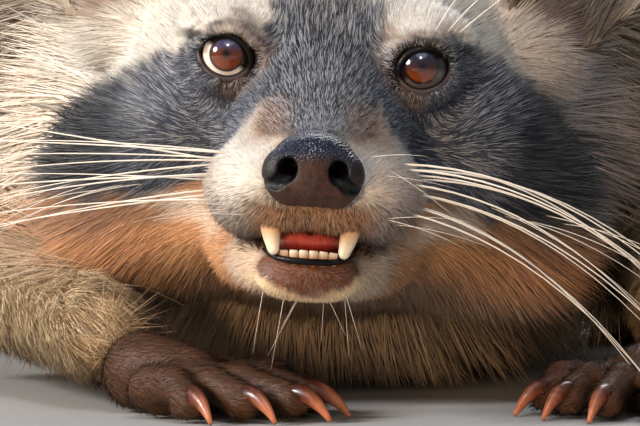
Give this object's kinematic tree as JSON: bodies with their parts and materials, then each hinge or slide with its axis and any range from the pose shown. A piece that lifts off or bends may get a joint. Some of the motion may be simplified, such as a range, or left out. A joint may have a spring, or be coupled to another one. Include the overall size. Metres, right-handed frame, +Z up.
{
  "type": "raccoon",
  "caption": "Life-size still raccoon lying on its belly, head held low over its forepaws, mouth slightly open, ringed tail curved behind.",
  "frame": {"origin": "on the floor under the chest, at the flat of the belly that it rests on", "axes": "+Z up; the animal faces -Y, so +Y runs from nose to rump; +X is its own left side"},
  "size_m": [0.3349, 0.6345, 0.1879],
  "materials": {
    "face_coat": "short dense fur with the black mask and white bands, matt",
    "body_coat": "long grizzled grey-brown fur, matt",
    "tail_coat": "long fur in dark and pale rings, matt",
    "leg_coat": "short dark grey-brown fur, matt",
    "paw_coat": "thin short dark fur over black skin",
    "nose_skin": "moist pebbled black skin",
    "eye": "wet dark brown eye",
    "ivory": "tooth enamel, cream",
    "tongue": "moist red tongue",
    "claw_horn": "smooth orange-brown horn"
  },
  "bodies": {
    "root": {"head": "face_coat", "nose_pad": "nose_skin", "lower_jaw": "face_coat", "tongue": "tongue", "neck": "body_coat", "chest": "body_coat", "loin": "body_coat", "tail_root": "tail_coat", "tail_middle": "tail_coat", "tail_end": "tail_coat", "eye_right": "eye", "canine_right": "ivory", "ear_right": "face_coat", "upper_arm_right": "body_coat", "forearm_right": "leg_coat", "hand_right": "paw_coat", "thigh_right": "body_coat", "shank_right": "leg_coat", "foot_right": "paw_coat", "claw_hand_right_1": "claw_horn", "claw_hand_right_2": "claw_horn", "claw_hand_right_3": "claw_horn", "claw_hand_right_4": "claw_horn", "claw_hand_right_5": "claw_horn", "claw_foot_right_1": "claw_horn", "claw_foot_right_2": "claw_horn", "claw_foot_right_3": "claw_horn", "claw_foot_right_4": "claw_horn", "claw_foot_right_5": "claw_horn", "eye_left": "eye", "canine_left": "ivory", "ear_left": "face_coat", "upper_arm_left": "body_coat", "forearm_left": "leg_coat", "hand_left": "paw_coat", "thigh_left": "body_coat", "shank_left": "leg_coat", "foot_left": "paw_coat", "claw_hand_left_1": "claw_horn", "claw_hand_left_2": "claw_horn", "claw_hand_left_3": "claw_horn", "claw_hand_left_4": "claw_horn", "claw_hand_left_5": "claw_horn", "claw_foot_left_1": "claw_horn", "claw_foot_left_2": "claw_horn", "claw_foot_left_3": "claw_horn", "claw_foot_left_4": "claw_horn", "claw_foot_left_5": "claw_horn"}
  },
  "joints": []
}
